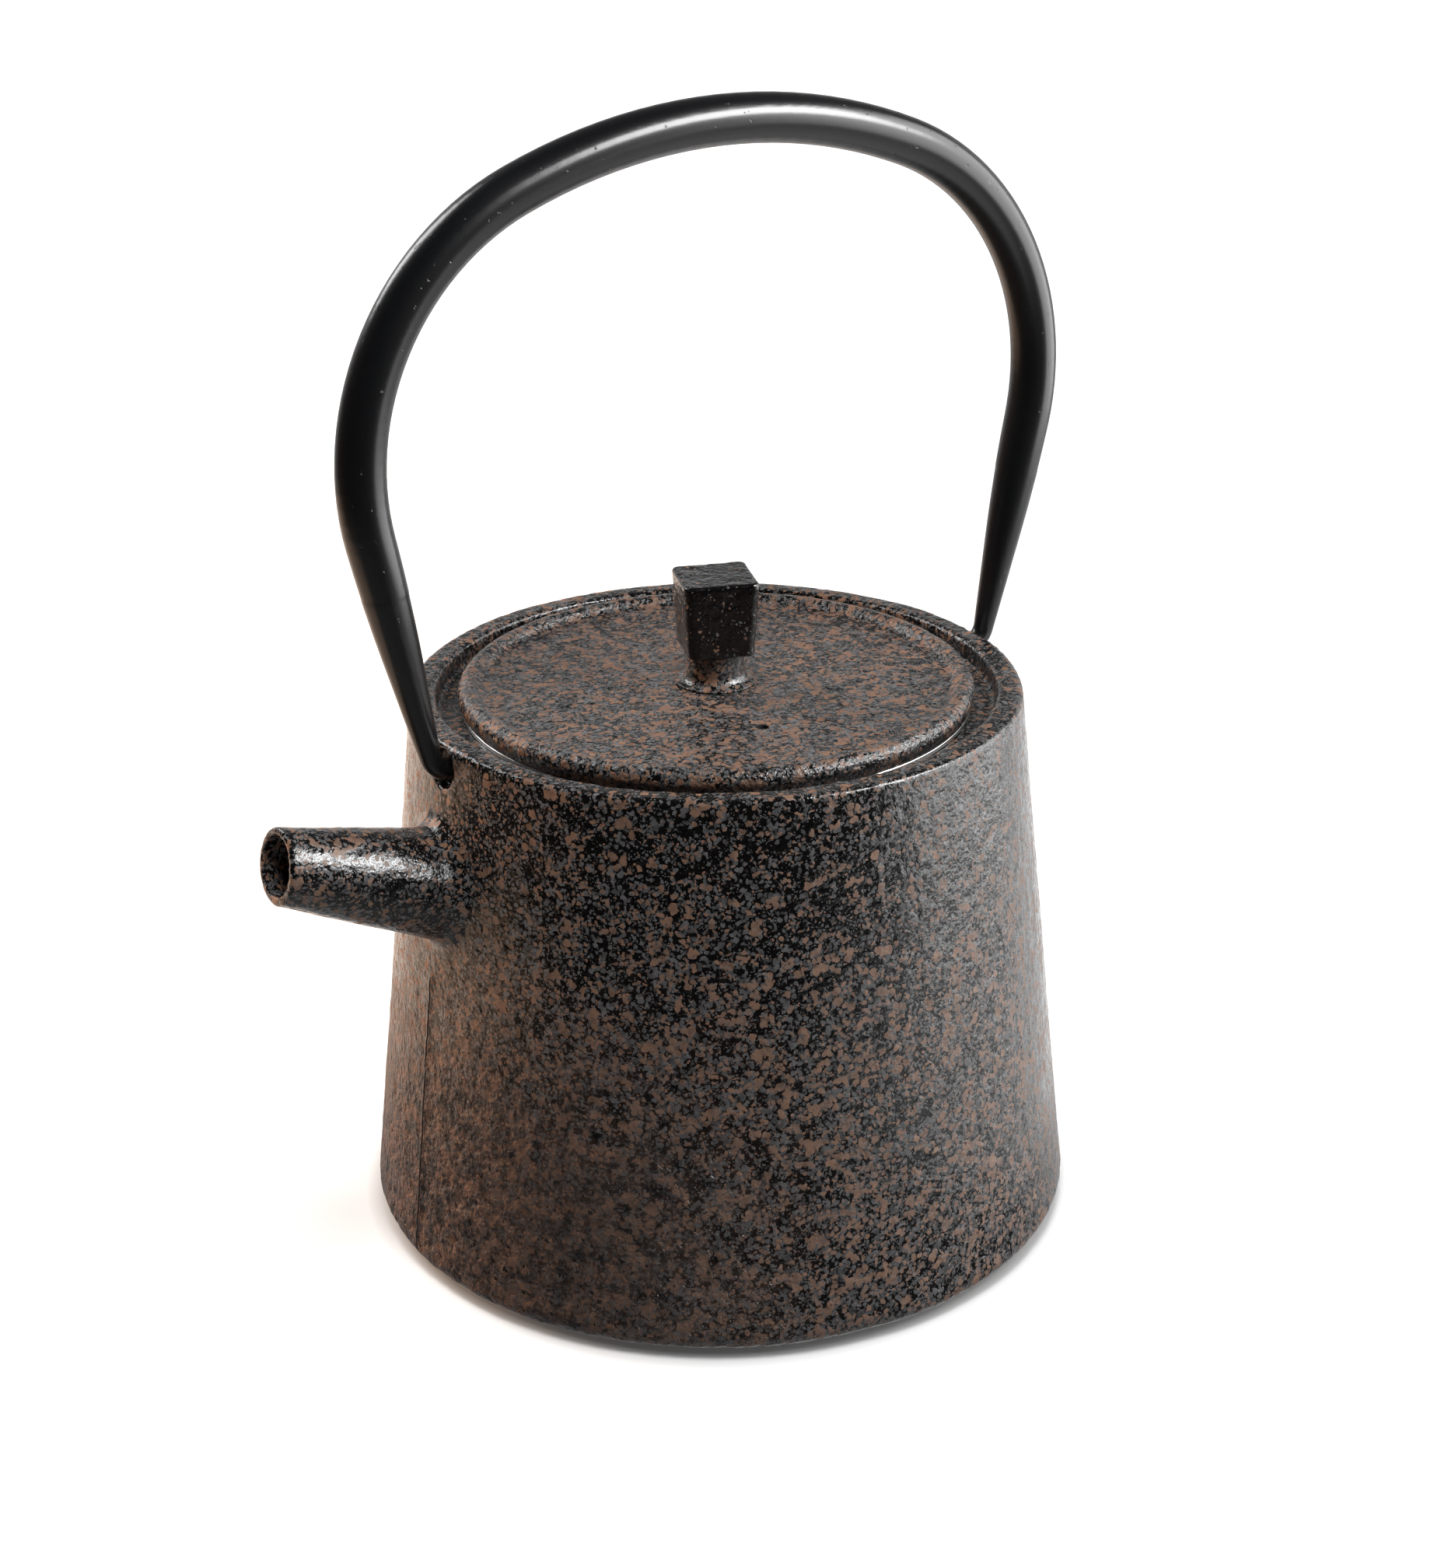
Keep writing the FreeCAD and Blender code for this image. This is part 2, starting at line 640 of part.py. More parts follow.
def make_bail_hook(name, half_turn, reach):
    """A solid end for one leg: a stem in the tube, a taper, an inward hook and its pin."""
    body = new_body(name)
    turn_axis = Vector(0, 1, 0)
    taper = solid(body, "AdditiveCone", "taper_" + name, Radius1="tube_end_radius",
                  Radius2="pin_radius", Height="(tube_end - %s) / cos(leg_angle)" % HOOK_TOP_Z)
    place(taper, x=leg_x("tube_end"), z="tube_end", turn_axis=turn_axis, turn="180 + leg_angle")
    stem = solid(body, "AdditiveCylinder", "stem_" + name,
                 Radius="stem_radius", Height="stem_length")
    place(stem, x=leg_x("tube_end"), z="tube_end", turn_axis=turn_axis, turn="leg_angle")
    hook = solid(body, "AdditiveTorus", "hook_" + name,
                 Radius1="hook_radius", Radius2="pin_radius", Angle3="90 - leg_angle")
    hook.Placement = Placement(Vector(), Rotation(Vector(0, 0, -1), Vector(1, 0, 0),
                                                  Vector(0, -1, 0), "XYZ"))
    bind(hook, Placement__Base__x=HOOK_CENTRE_X, Placement__Base__z="pivot_height + hook_radius")
    pin = solid(body, "AdditiveCylinder", "pin_" + name,
                Radius="pin_radius", Height="%s %s - pin_floor" % (HOOK_CENTRE_X, reach))
    place(pin, x=HOOK_CENTRE_X, z="pivot_height", turn_axis=turn_axis, turn="-90")
    place(body, x="bail_shift", turn_axis=Vector(0, 0, 1), turn=half_turn)
    return body


bodies = [
    make_kettle_body(),
    make_lid(),
    make_knob(),
    make_knob_screw(),
    make_knob_washer(),
    make_infuser_collar(),
    make_infuser_basket(),
    make_infuser_floor(),
    make_bail_tube(),
    make_bail_hook("bail_hook_front", "0", "+ bail_shift"),
    make_bail_hook("bail_hook_back", "180", "- bail_shift"),
]
doc.recompute()

for item in doc.Objects:
    if "Invalid" in item.State or "Error" in item.State:
        raise RuntimeError("failed: %s %s" % (item.Label, item.State))

os.makedirs("parts", exist_ok=True)
for body in bodies:
    shape = body.Shape
    if shape.isNull() or not shape.isValid() or len(shape.Solids) != 1:
        raise RuntimeError("bad shape: " + body.Label)
    shape.exportStep("parts/%s.step" % body.Label)
    size = shape.BoundBox
    print("%-18s %7.1f x %6.1f x %6.1f  volume %9.0f" % (
        body.Label, size.XLength, size.YLength, size.ZLength, shape.Volume))
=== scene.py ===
import json
import math
import bmesh
import bpy
import numpy as np
from mathutils import Matrix, Vector


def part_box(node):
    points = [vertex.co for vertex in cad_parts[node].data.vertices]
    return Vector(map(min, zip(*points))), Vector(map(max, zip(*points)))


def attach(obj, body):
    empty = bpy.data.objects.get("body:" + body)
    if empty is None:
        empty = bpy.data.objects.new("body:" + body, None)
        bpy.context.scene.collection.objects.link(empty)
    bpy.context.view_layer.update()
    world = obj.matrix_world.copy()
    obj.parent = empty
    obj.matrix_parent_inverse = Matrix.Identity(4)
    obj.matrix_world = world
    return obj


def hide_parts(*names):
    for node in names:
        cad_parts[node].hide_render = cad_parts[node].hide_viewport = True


# A cast-iron teapot in speckled enamel with a satin black bail handle.
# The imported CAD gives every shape; this script gives the castings their rough skin,
# the materials, the studio and the camera. Lengths are in metres, +X is the spout.

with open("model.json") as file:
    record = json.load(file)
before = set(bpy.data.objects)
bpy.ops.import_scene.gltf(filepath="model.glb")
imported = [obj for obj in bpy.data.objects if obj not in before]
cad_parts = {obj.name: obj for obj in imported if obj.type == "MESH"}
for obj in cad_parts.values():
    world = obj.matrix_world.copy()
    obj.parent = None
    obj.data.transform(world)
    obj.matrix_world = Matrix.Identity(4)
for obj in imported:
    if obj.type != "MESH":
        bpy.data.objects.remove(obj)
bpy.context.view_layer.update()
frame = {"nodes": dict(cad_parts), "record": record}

MM = 0.001
BASE_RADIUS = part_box("kettle_body")[1].y

# the mould joint under the spout shows up to this height
SEAM_TOP = 64.0 * MM
SEAM_FADE = 2.0 * MM
# where the knob's block starts, above its neck
NECK_TOP = 116.6 * MM
# the steam hole in the lid, and how far the painted shade in it reaches past the hole
VENT = (5.7 * MM, 25.1 * MM, 0.0)
VENT_RADIUS = 1.1 * MM
VENT_SHADE_EDGE = 0.2 * MM
# the handle's legs taper below this height, and the crease there is eased
TAPER_TOP = 141.0 * MM
TAPER_SLOPE = 0.075
TAPER_EASE = 14.0 * MM

# ---------------------------------------------------------------- noise


def lattice_value(cells, seed):
    """A fixed pseudo-random number from 0 to 1 for each whole-numbered lattice point."""
    mixed = (cells[..., 0] * 73856093) ^ (cells[..., 1] * 19349663) ^ (cells[..., 2] * 83492791)
    mixed = (mixed ^ (seed * 2654435761)) & 0xFFFFFFFF
    mixed = ((mixed ^ (mixed >> 15)) * 2246822519) & 0xFFFFFFFF
    mixed = ((mixed ^ (mixed >> 13)) * 3266489917) & 0xFFFFFFFF
    return ((mixed ^ (mixed >> 16)) & 0xFFFFFF) / float(0xFFFFFF)


def smooth_noise(points, wavelength, seed):
    """Smooth noise from -1 to 1 at each point, with features about one wavelength across."""
    scaled = points / wavelength
    low = np.floor(scaled).astype(np.int64)
    part = scaled - low
    ease = part * part * part * (part * (part * 6.0 - 15.0) + 10.0)
    total = np.zeros(len(points))
    for corner in np.ndindex(2, 2, 2):
        offset = np.array(corner)
        weight = np.prod(np.where(offset == 1, ease, 1.0 - ease), axis=1)
        total += weight * lattice_value(low + offset, seed)
    return total * 2.0 - 1.0


def ramp(values, low, high):
    """0 below low, 1 above high, smooth between."""
    t = np.clip((values - low) / (high - low), 0.0, 1.0)
    return t * t * (3.0 - 2.0 * t)


# ---------------------------------------------------------------- meshes


def even_copy(name, nodes, cell):
    """The CAD nodes' joined surface as one new object with an even mesh of about this cell size."""
    joined = bmesh.new()
    for node in nodes:
        joined.from_mesh(frame["nodes"][node].data)
    work = bpy.data.objects.new(name + "_work", bpy.data.meshes.new(name + "_work"))
    joined.to_mesh(work.data)
    joined.free()
    bpy.context.scene.collection.objects.link(work)
    remesh = work.modifiers.new("even", "REMESH")
    remesh.mode = "VOXEL"
    remesh.voxel_size = cell
    ease = work.modifiers.new("ease", "SMOOTH")
    ease.iterations = 2
    ready = work.evaluated_get(bpy.context.evaluated_depsgraph_get())
    mesh = bpy.data.meshes.new_from_object(ready)
    bpy.data.objects.remove(work)
    cast = bpy.data.objects.new(name, mesh)
    bpy.context.scene.collection.objects.link(cast)
    return cast


def roughen(cast, nodes, relief):
    """Move every vertex along its normal by relief(points), never out of the CAD nodes' box."""
    corners = [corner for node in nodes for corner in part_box(node)]
    mesh = cast.data
    count = len(mesh.vertices)
    points = np.empty(count * 3)
    normals = np.empty(count * 3)
    mesh.vertices.foreach_get("co", points)
    mesh.vertices.foreach_get("normal", normals)
    points = points.reshape(-1, 3)
    normals = normals.reshape(-1, 3)
    points += normals * relief(points)[:, None]
    points = np.clip(points, np.min(corners, axis=0), np.max(corners, axis=0))
    mesh.vertices.foreach_set("co", points.ravel())
    mesh.polygons.foreach_set("use_smooth", [True] * len(mesh.polygons))
    mesh.update()


SWELL_SIZE = 14.0 * MM
PEEL_SIZE = 2.6 * MM
FINE_PEEL_SIZE = 1.5 * MM
PIT_SIZE = 1.8 * MM


def cast_skin(points, seed, swell, peel, pits):
    """Sand-cast relief: slow swells, a fine orange peel, and scattered pits."""
    slow = smooth_noise(points, SWELL_SIZE, seed) * swell
    coarse_peel = smooth_noise(points, PEEL_SIZE, seed + 1)
    fine_peel = smooth_noise(points, FINE_PEEL_SIZE, seed + 2)
    pitted = ramp(smooth_noise(points, PIT_SIZE, seed + 3), 0.30, 0.75) * pits
    return slow + (coarse_peel + fine_peel) * peel - pitted


POT_SINK = 0.10 * MM
LID_SINK = 0.05 * MM
KNOB_SINK = 0.05 * MM
COARSE_AZIMUTH = 0.35


def pot_relief(points):
    """The pot's skin, coarser low down by the spout; the whole of it lies a little sunk."""
    azimuth = np.arctan2(points[:, 1], points[:, 0])
    towards_spout = ramp(-np.abs(azimuth - COARSE_AZIMUTH), -1.1, -0.2)
    low_down = ramp(-points[:, 2], -80.0 * MM, -20.0 * MM)
    relief = cast_skin(points, 11, 0.10 * MM, 0.045 * MM, 0.06 * MM)
    extra = cast_skin(points, 21, 0.0, 0.075 * MM, 0.22 * MM)
    return relief - POT_SINK + towards_spout * low_down * extra


def lid_relief(points):
    """The lid's skin, weaker on its rolled rim than on its flat top."""
    radius = np.hypot(points[:, 0], points[:, 1])
    flat = ramp(-radius, -47.0 * MM, -43.0 * MM)
    skin = cast_skin(points, 31, 0.08 * MM, 0.075 * MM, 0.08 * MM)
    return skin * (0.4 + 0.6 * flat) - LID_SINK


def knob_relief(points):
    return cast_skin(points, 41, 0.15 * MM, 0.045 * MM, 0.06 * MM) - KNOB_SINK


def tube_relief(points):
    """Ease the crease where each leg of the handle starts to taper."""
    distance = np.abs(points[:, 2] - TAPER_TOP)
    cut = TAPER_SLOPE * np.maximum(TAPER_EASE - distance, 0.0) ** 2 / (4.0 * TAPER_EASE)
    return -cut


# ---------------------------------------------------------------- materials


class Tree:
    """A node tree, with short ways to add and join its nodes."""

    def __init__(self, tree):
        self.tree = tree

    def put(self, socket, value):
        if isinstance(value, bpy.types.NodeSocket):
            self.tree.links.new(value, socket)
        else:
            socket.default_value = value

    def node(self, kind, inputs=None, **settings):
        made = self.tree.nodes.new("ShaderNode" + kind)
        for name, value in settings.items():
            setattr(made, name, value)
        for name, value in (inputs or {}).items():
            self.put(made.inputs[name], value)
        return made

    def math(self, operation, first, second=0.0, third=0.0):
        return self.node("Math", {0: first, 1: second, 2: third}, operation=operation).outputs[0]

    def step(self, value, low, high):
        """0 below low and 1 above high; reversed limits turn it round."""
        made = self.node("MapRange", {"Value": value, "From Min": low, "From Max": high},
                         interpolation_type="SMOOTHSTEP", clamp=True)
        return made.outputs["Result"]

    def scale(self, value, low, high, first, last):
        """The value, stretched from low..high to first..last."""
        made = self.node("MapRange", {"Value": value, "From Min": low, "From Max": high,
                                      "To Min": first, "To Max": last}, clamp=True)
        return made.outputs["Result"]

    def mix(self, amount, first, second):
        made = self.node("Mix", data_type="RGBA")
        for socket, value in ((0, amount), (6, first), (7, second)):
            self.put(made.inputs[socket], value)
        return made.outputs[2]


class Shader(Tree):
    """A material's node tree, read from object coordinates."""

    def __init__(self, name):
        self.material = bpy.data.materials.new(name)
        self.material.use_nodes = True
        super().__init__(self.material.node_tree)
        self.surface = self.tree.nodes["Principled BSDF"]
        self.place = self.node("TexCoord").outputs["Object"]

    def axes(self):
        """The object coordinates as three separate values, along X, Y and Z."""
        return self.node("SeparateXYZ", {"Vector": self.place}).outputs[:3]

    def noise(self, size, detail=2.0):
        made = self.node("TexNoise", {"Vector": self.place, "Scale": 1.0 / size, "Detail": detail})
        return made.outputs["Fac"]

    def mottle(self, size, detail, least):
        """An uneven depth from least to 1."""
        return self.scale(self.noise(size, detail), 0.35, 0.65, least, 1.0)

    def blobs(self, size, place, bare, spread, fewest, most):
        """Round blobs that run together into clumps: 1 inside, 0 outside.

        spread is the size of the clumps; fewest and most are the blobs' reach, as a share of
        size, and bare is taken off both."""
        cells = self.node("TexVoronoi", {"Vector": place, "Scale": 1.0 / size, "Randomness": 1.0})
        crowd = self.noise(spread, 2.0)
        reach = self.scale(crowd, 0.34, 0.66, fewest, most)
        inside = self.math("SUBTRACT", self.math("SUBTRACT", reach, bare), cells.outputs["Distance"])
        return self.step(inside, -0.03, 0.05)

    def bump(self, height, distance, strength, normal=None):
        inputs = {"Height": height, "Distance": distance, "Strength": strength}
        if normal is not None:
            inputs["Normal"] = normal
        return self.node("Bump", inputs).outputs["Normal"]

    def finish(self, **sockets):
        for name, value in sockets.items():
            self.put(self.surface.inputs[name.replace("_", " ")], value)
        return self.material


BLACK = (0.003, 0.0027, 0.0027, 1.0)
GREY = (0.074, 0.074, 0.077, 1.0)
TAN = (0.138, 0.074, 0.045, 1.0)
# the brown of an even patch low on the spout side of the pot
BROWN_PATCH = (0.078, 0.042, 0.027, 1.0)
PAINT = (0.0035, 0.0037, 0.0042, 1.0)
PLATED_STEEL = (0.55, 0.55, 0.53, 1.0)
STAINLESS_STEEL = (0.60, 0.60, 0.59, 1.0)


def wandering_place(shader, wavelength, amount):
    """Object coordinates pushed about a little, so that blob edges are uneven."""
    wander = shader.node("TexNoise", {"Vector": shader.place, "Scale": 1.0 / wavelength,
                                      "Detail": 1.0})
    centred = shader.node("VectorMath", {0: wander.outputs["Color"], 1: (0.5, 0.5, 0.5)},
                          operation="SUBTRACT")
    scaled = shader.node("VectorMath", {0: centred.outputs[0], "Scale": amount},
                         operation="SCALE")
    moved = shader.node("VectorMath", {0: shader.place, 1: scaled.outputs[0]}, operation="ADD")
    return moved.outputs[0]


# each kind of blob: size, size of the clumps, least and most reach as a share of its size
GREY_BLOBS = ((1.00 * MM, 3.5 * MM, 0.34, 0.60), (0.55 * MM, 3.0 * MM, 0.26, 0.52))
TAN_BLOBS = ((1.75 * MM, 3.8 * MM, 0.05, 0.60), (1.10 * MM, 3.0 * MM, 0.10, 0.54))
BLOB_HEIGHT = 0.03 * MM
BLACK_ROUGHNESS = 0.15
TAN_ROUGHNESS = 0.50
BROWN_PATCH_ROUGHNESS = 0.46
EDGE_WANDER = 30.0 * MM
SEAM_WANDER = 0.5 * MM


def spatter(shader, place, bare, kinds):
    """Two kinds of blob together: 1 inside either, 0 outside both."""
    return shader.math("MAXIMUM", *(shader.blobs(size, place, bare, spread, least, most)
                                    for size, spread, least, most in kinds))


def add_brown_patch(shader, colour, roughness, height, brown_patch):
    """An even brown patch with small dark pits, from the first to the second distance along +X
    and up to the third height, with an uneven edge."""
    along, _, up = shader.axes()
    start, end, top = brown_patch
    half = EDGE_WANDER / 2.0
    edge = shader.math("MULTIPLY_ADD", shader.noise(13.0 * MM), EDGE_WANDER, along)
    brim = shader.math("MULTIPLY_ADD", shader.noise(9.0 * MM), EDGE_WANDER, up)
    covered = shader.math("MULTIPLY", shader.scale(edge, start + half, end + half, 0.0, 1.0),
                          shader.step(brim, top + half, 0.5 * top))
    brown_patch_roughness = shader.math("MULTIPLY", covered, BROWN_PATCH_ROUGHNESS)
    roughness = shader.math("MAXIMUM", roughness, brown_patch_roughness)
    mottled = shader.scale(shader.noise(3.0 * MM, 3.0), 0.3, 0.7, 0.0, 1.0)
    amount = shader.math("MULTIPLY", covered, 0.62)
    colour = shader.mix(amount, colour, shader.mix(mottled, BLACK, BROWN_PATCH))
    pits = shader.math("MULTIPLY", shader.step(shader.noise(1.5 * MM, 3.0), 0.60, 0.68), covered)
    colour = shader.mix(pits, colour, BLACK)
    height = shader.bump(pits, -0.25 * MM, 1.0, height)
    lumps = shader.math("MULTIPLY", shader.noise(1.3 * MM, 3.0), covered)
    height = shader.bump(lumps, 0.90 * MM, 1.0, height)
    return colour, roughness, height


def add_seam(shader, colour, roughness, height, top):
    """A dark hair-line crack down the mould joint on the +X side, from this height."""
    along, across, up = shader.axes()
    wobble = shader.math("MULTIPLY_ADD", shader.noise(3.0 * MM, 3.0), SEAM_WANDER,
                         -SEAM_WANDER / 2.0)
    offset = shader.math("ABSOLUTE", shader.math("ADD", across, wobble))
    line = shader.step(offset, 0.42 * MM, 0.20 * MM)
    line = shader.math("MULTIPLY", line, shader.step(up, top, top - SEAM_FADE))
    line = shader.math("MULTIPLY", line, shader.step(along, 0.0, 10.0 * MM))
    colour = shader.mix(line, colour, BLACK)
    roughness = shader.math("MAXIMUM", roughness, line)
    height = shader.bump(line, -0.35 * MM, 0.8, height)
    return colour, roughness, height


def add_vent_shade(shader, colour, roughness, vent):
    """Painted shade: matt black within an upright hole that passes through this point, and a little
    past its edge.
    """
    offset = shader.node("VectorMath", {0: shader.place, 1: vent}, operation="SUBTRACT")
    flat = shader.node("VectorMath", {0: offset.outputs[0], 1: (1.0, 1.0, 0.0)},
                       operation="MULTIPLY")
    from_axis = shader.node("VectorMath", {0: flat.outputs[0]}, operation="LENGTH").outputs["Value"]
    inside = shader.step(from_axis, VENT_RADIUS + 2.0 * VENT_SHADE_EDGE, VENT_RADIUS + VENT_SHADE_EDGE)
    return shader.mix(inside, colour, BLACK), shader.math("MAXIMUM", roughness, inside)


def enamel(name, peel, thin, rise, brown_patch=None, seam_top=None, vent=None):
    """Gloss black enamel, closely spattered with grey and with clumps of brown.

    peel is the height of the fine orange peel. thin is taken off the reach of every blob, so
    that more black is left: its first value below the heights in rise, its second above them.
    brown_patch, seam_top and vent add the brown patch, the mould joint and painted shade in the
    steam hole."""
    shader = Shader(name)
    up = shader.axes()[2]
    place = wandering_place(shader, 1.2 * MM, 1.1 * MM)
    bare = shader.scale(up, *rise, *thin)
    grey = spatter(shader, place, bare, GREY_BLOBS)
    tan = spatter(shader, place, bare, TAN_BLOBS)
    grey_depth = shader.mottle(1.6 * MM, 1.0, 0.45)
    tan_depth = shader.mottle(2.3 * MM, 2.0, 0.50)
    colour = shader.mix(shader.math("MULTIPLY", grey, grey_depth), BLACK, GREY)
    colour = shader.mix(shader.math("MULTIPLY", tan, tan_depth), colour, TAN)
    matt = shader.math("MAXIMUM", tan, shader.math("MULTIPLY", grey, 0.25))
    roughness = shader.scale(matt, 0.0, 1.0, BLACK_ROUGHNESS, TAN_ROUGHNESS)
    height = shader.bump(shader.noise(0.9 * MM, 3.0), peel, 1.0)
    height = shader.bump(shader.math("MAXIMUM", grey, tan), BLOB_HEIGHT, 0.5, height)
    if brown_patch is not None:
        colour, roughness, height = add_brown_patch(shader, colour, roughness, height, brown_patch)
    if seam_top is not None:
        colour, roughness, height = add_seam(shader, colour, roughness, height, seam_top)
    # painted shade: the steam hole and a hair past its edge turn matt black
    if vent is not None:
        colour, roughness = add_vent_shade(shader, colour, roughness, vent)
    return shader.finish(Base_Color=colour, Roughness=roughness, Normal=height)


def satin_black():
    """The handle's paint: smooth satin black with a few small pits."""
    shader = Shader("bail_black")
    pits = shader.step(shader.noise(1.3 * MM, 2.0), 0.70, 0.78)
    peel = shader.bump(shader.noise(0.8 * MM, 2.0), 0.01 * MM, 0.3)
    normal = shader.bump(pits, -0.10 * MM, 0.8, peel)
    return shader.finish(Base_Color=PAINT, Roughness=0.27, Normal=normal)


def steel(name, colour, roughness):
    shader = Shader(name)
    return shader.finish(Base_Color=colour, Metallic=1.0, Roughness=roughness)


materials = {
    # more black is left from 55 mm up on the pot: in part its pattern, in part painted shade on the
    # upper wall
    "pot_enamel": enamel("pot_enamel", 0.17 * MM, (0.0, 0.09), (55.0 * MM, 100.0 * MM),
                         brown_patch=(14.0 * MM, 58.0 * MM, 84.0 * MM), seam_top=SEAM_TOP),
    "lid_enamel": enamel("lid_enamel", 0.50 * MM, (0.01, 0.01), (0.0, 1.0), vent=VENT),
    # painted shade: above its neck the knob's block keeps far fewer blobs, so it is nearly black and
    # darker than the neck
    "knob_enamel": enamel("knob_enamel", 0.15 * MM, (0.02, 0.27), (NECK_TOP - 0.5 * MM, NECK_TOP)),
    "bail_black": satin_black(),
    "plated_steel": steel("plated_steel", PLATED_STEEL, 0.35),
    "infuser_steel": steel("infuser_steel", STAINLESS_STEEL, 0.28),
}


def dress(item, slot):
    """Give an object the material of one of the record's slots."""
    item.data.materials.clear()
    item.data.materials.append(materials[slot])


# ---------------------------------------------------------------- the castings

CASTINGS = (
    # name, nodes, body, slot, cell, relief
    ("pot_casting", ["kettle_body"], "pot", "pot_enamel", 0.42 * MM, pot_relief),
    ("lid_casting", ["lid"], "cover", "lid_enamel", 0.42 * MM, lid_relief),
    ("knob_casting", ["lid_knob"], "cover", "knob_enamel", 0.25 * MM, knob_relief),
    ("handle", ["bail_tube", "bail_hook_front", "bail_hook_back"], "bail", "bail_black",
     0.40 * MM, tube_relief),
)

replaced = []
for name, nodes, body, slot, cell, relief in CASTINGS:
    cast = even_copy(name, nodes, cell)
    roughen(cast, nodes, relief)
    dress(cast, slot)
    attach(cast, body)
    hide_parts(*nodes)
    replaced += nodes

for entry in frame["record"]["subparts"]:
    if entry["node"] not in replaced:
        dress(frame["nodes"][entry["node"]], entry["material_slot"])

# ---------------------------------------------------------------- studio

# the camera: degrees, metres and millimetres of lens
CAMERA_AZIMUTH = 57.7
CAMERA_DISTANCE = 501.5 * MM
CAMERA_HEIGHT = 302.0 * MM
CAMERA_PITCH = 23.13
CAMERA_ROLL = -0.49
LENS = 62.72
SENSOR = 36.0

# the surround: light from low behind the pot, and from the table below
BACKGROUND_STRENGTH = 0.72
FLOOR_SHEEN = 0.35

# the table top: its glow by the pot and far off, as seen and as it lights the pot
FLOOR_REACH = 8.0
FLOOR_WHITE = 0.36
NEAR_GLOW = 0.56
FAR_GLOW = 1.05
UNSEEN_SHARE = 0.4
CONTACT_SHADOW = 3.0 * MM

WHITE = (1.0, 1.0, 1.0)
WARM = (1.0, 0.66, 0.44)
AIM_HEIGHT = 80.0 * MM
LAMP_DISTANCE = 0.9
LAMPS = (
    # name, degrees right of the camera, elevation, size, watts, colour, glossy, diffuse
    ("right_box", 95.0, 15.0, (1.0, 1.0), 16.0, WHITE, True, True),
    ("left_board", -118.0, 8.0, (0.7, 0.35), 22.0, WARM, False, True),
    ("left_strip", -125.0, 38.0, (0.25, 0.5), 4.0, WHITE, True, True),
    ("top_box", 2.0, 73.0, (0.26, 0.28), 11.0, WHITE, False, True),
    ("gloss_box", 72.0, 38.0, (0.58, 0.32), 14.0, WHITE, True, False),
)
PATCH_DISTANCE = 0.30
PATCH_SIZE = (0.42, 0.50)
PATCH_HEIGHT = 1.0 * MM
FLOOR_PATCHES = (
    # name, degrees right of the camera, watts, colour
    ("right_floor", 97.0, 0.5, WHITE),
    ("left_floor", -124.0, 0.6, WARM),
)


def towards(azimuth, elevation, distance):
    """A point at an azimuth from +X and an elevation, both in degrees, round the pot."""
    turn = math.radians(azimuth)
    lift = math.radians(elevation)
    flat = distance * math.cos(lift)
    return Vector((flat * math.cos(turn), flat * math.sin(turn), distance * math.sin(lift)))


def add_camera():
    data = bpy.data.cameras.new("camera")
    data.lens = LENS
    data.sensor_width = SENSOR
    data.clip_start = 0.01
    camera = bpy.data.objects.new("camera", data)
    bpy.context.scene.collection.objects.link(camera)
    spot = towards(CAMERA_AZIMUTH, 0.0, CAMERA_DISTANCE) + Vector((0.0, 0.0, CAMERA_HEIGHT))
    aim = (Matrix.Rotation(math.radians(CAMERA_AZIMUTH + 90.0), 4, "Z")
           @ Matrix.Rotation(math.radians(90.0 - CAMERA_PITCH), 4, "X")
           @ Matrix.Rotation(math.radians(CAMERA_ROLL), 4, "Z"))
    camera.matrix_world = Matrix.Translation(spot) @ aim
    bpy.context.scene.camera = camera


def add_light(name, size, power, colour):
    """A soft rectangular light, not yet placed."""
    data = bpy.data.lights.new(name, "AREA")
    data.shape = "RECTANGLE"
    data.size, data.size_y = size
    data.energy = power
    data.color = colour
    light = bpy.data.objects.new(name, data)
    bpy.context.scene.collection.objects.link(light)
    return light


def add_lamp(name, side, elevation, size, power, colour, glossy, diffuse):
    """A soft box aimed at the pot; glossy and diffuse say which reflections show it."""
    light = add_light(name, size, power, colour)
    centre = Vector((0.0, 0.0, AIM_HEIGHT))
    spot = centre + towards(CAMERA_AZIMUTH + side, elevation, LAMP_DISTANCE)
    aim = (centre - spot).to_track_quat("-Z", "Y").to_matrix().to_4x4()
    light.matrix_world = Matrix.Translation(spot) @ aim
    light.visible_glossy = glossy
    light.visible_diffuse = diffuse


def add_floor_patch(name, side, power, colour):
    """A patch of brightly lit table beside the pot, seen in its gloss."""
    light = add_light(name, PATCH_SIZE, power, colour)
    spot = towards(CAMERA_AZIMUTH + side, 0.0, PATCH_DISTANCE) + Vector((0.0, 0.0, PATCH_HEIGHT))
    turn = Matrix.Rotation(math.radians(CAMERA_AZIMUTH + side), 4, "Z")
    face_up = Matrix.Rotation(math.pi, 4, "X")
    light.matrix_world = Matrix.Translation(spot) @ turn @ face_up
    light.visible_camera = False


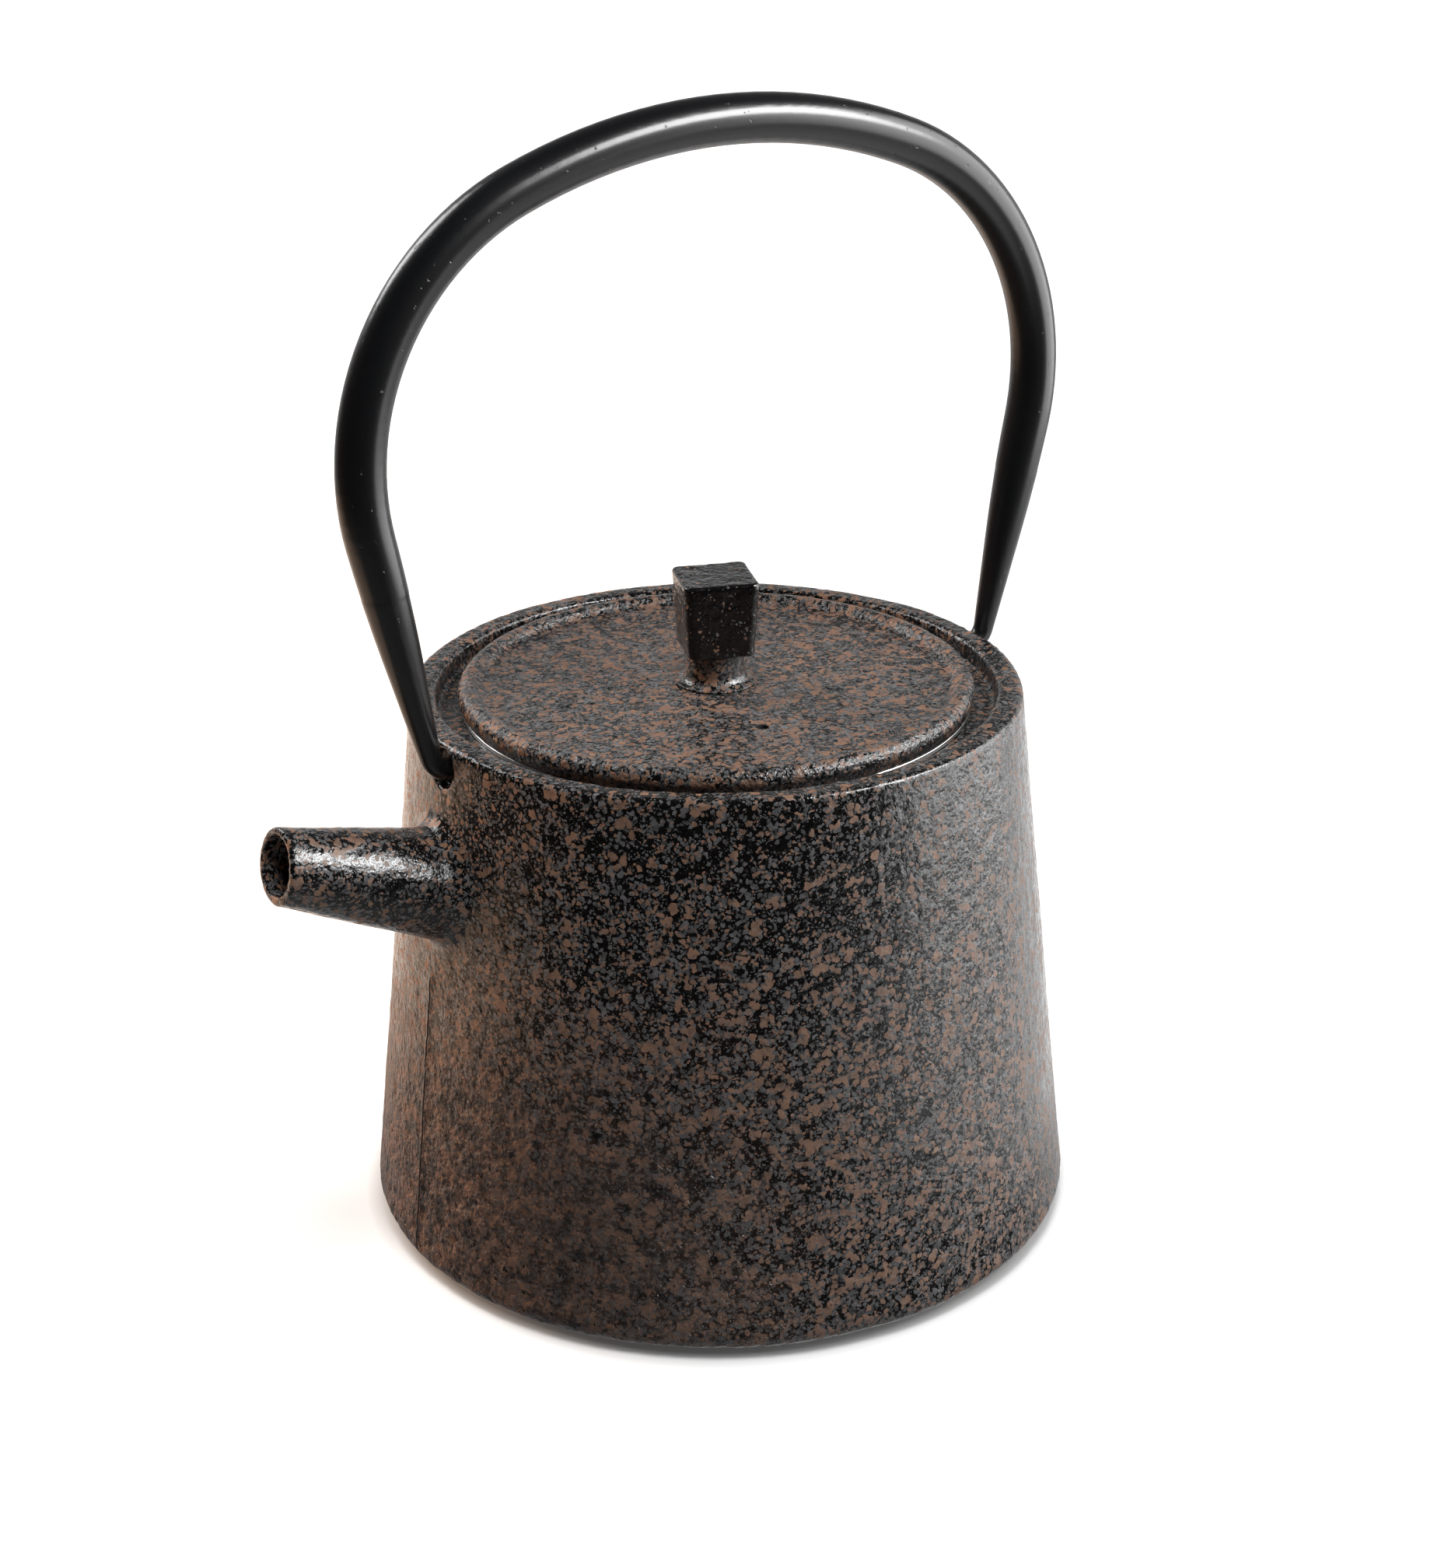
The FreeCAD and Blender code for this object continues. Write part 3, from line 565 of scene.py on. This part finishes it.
def add_world():
    """White where it is seen. It lights the pot from low behind and from straight below only."""
    world = bpy.data.worlds.new("studio")
    world.use_nodes = True
    shader = Tree(world.node_tree)
    direction = shader.node("TexCoord").outputs["Generated"]
    away = shader.node("VectorMath", {0: direction, 1: -towards(CAMERA_AZIMUTH, 0.0, 1.0)},
                       operation="DOT_PRODUCT").outputs["Value"]
    up = shader.node("SeparateXYZ", {"Vector": direction}).outputs["Z"]
    low = shader.scale(up, 0.15, 0.42, 1.0, 0.22)
    ahead = shader.scale(away, 0.30, 0.90, 0.0, BACKGROUND_STRENGTH)
    behind = shader.math("MULTIPLY", low, ahead)
    below = shader.scale(up, -0.35, -0.85, 0.0, FLOOR_SHEEN)
    unseen = shader.math("ADD", behind, below)
    seen = shader.node("LightPath").outputs["Is Camera Ray"]
    background = world.node_tree.nodes["Background"]
    shader.put(background.inputs["Color"], (*WHITE, 1.0))
    shader.put(background.inputs["Strength"], shader.math("MAXIMUM", seen, unseen))
    bpy.context.scene.world = world


def add_floor():
    """A plain white table top that glows towards its edges; the pot's gloss misses it."""
    reach = FLOOR_REACH
    corners = ((-reach, -reach, 0.0), (reach, -reach, 0.0), (reach, reach, 0.0),
               (-reach, reach, 0.0))
    mesh = bpy.data.meshes.new("floor")
    mesh.from_pydata(corners, [], [(0, 1, 2, 3)])
    floor = bpy.data.objects.new("floor", mesh)
    bpy.context.scene.collection.objects.link(floor)
    shader = Shader("floor_white")
    distance = shader.node("VectorMath", {0: shader.place}, operation="LENGTH").outputs["Value"]
    glow = shader.scale(distance, 0.20, 0.90, NEAR_GLOW, FAR_GLOW)
    # painted contact shadow: the glow falls to a tenth round the pot's foot
    clear_of_pot = shader.scale(distance, BASE_RADIUS - CONTACT_SHADOW,
                                BASE_RADIUS + CONTACT_SHADOW, 0.1, 1.0)
    glow = shader.math("MULTIPLY", glow, clear_of_pot)
    camera_ray = shader.node("LightPath").outputs["Is Camera Ray"]
    seen = shader.scale(camera_ray, 0.0, 1.0, UNSEEN_SHARE, 1.0)
    grey = (FLOOR_WHITE, FLOOR_WHITE, FLOOR_WHITE, 1.0)
    floor.data.materials.append(shader.finish(
        Base_Color=grey, Roughness=0.9, Emission_Color=(*WHITE, 1.0),
        Emission_Strength=shader.math("MULTIPLY", glow, seen)))
    floor.visible_glossy = False


add_camera()
add_world()
add_floor()
for lamp in LAMPS:
    add_lamp(*lamp)
for patch in FLOOR_PATCHES:
    add_floor_patch(*patch)
bpy.context.scene.view_settings.view_transform = "Standard"
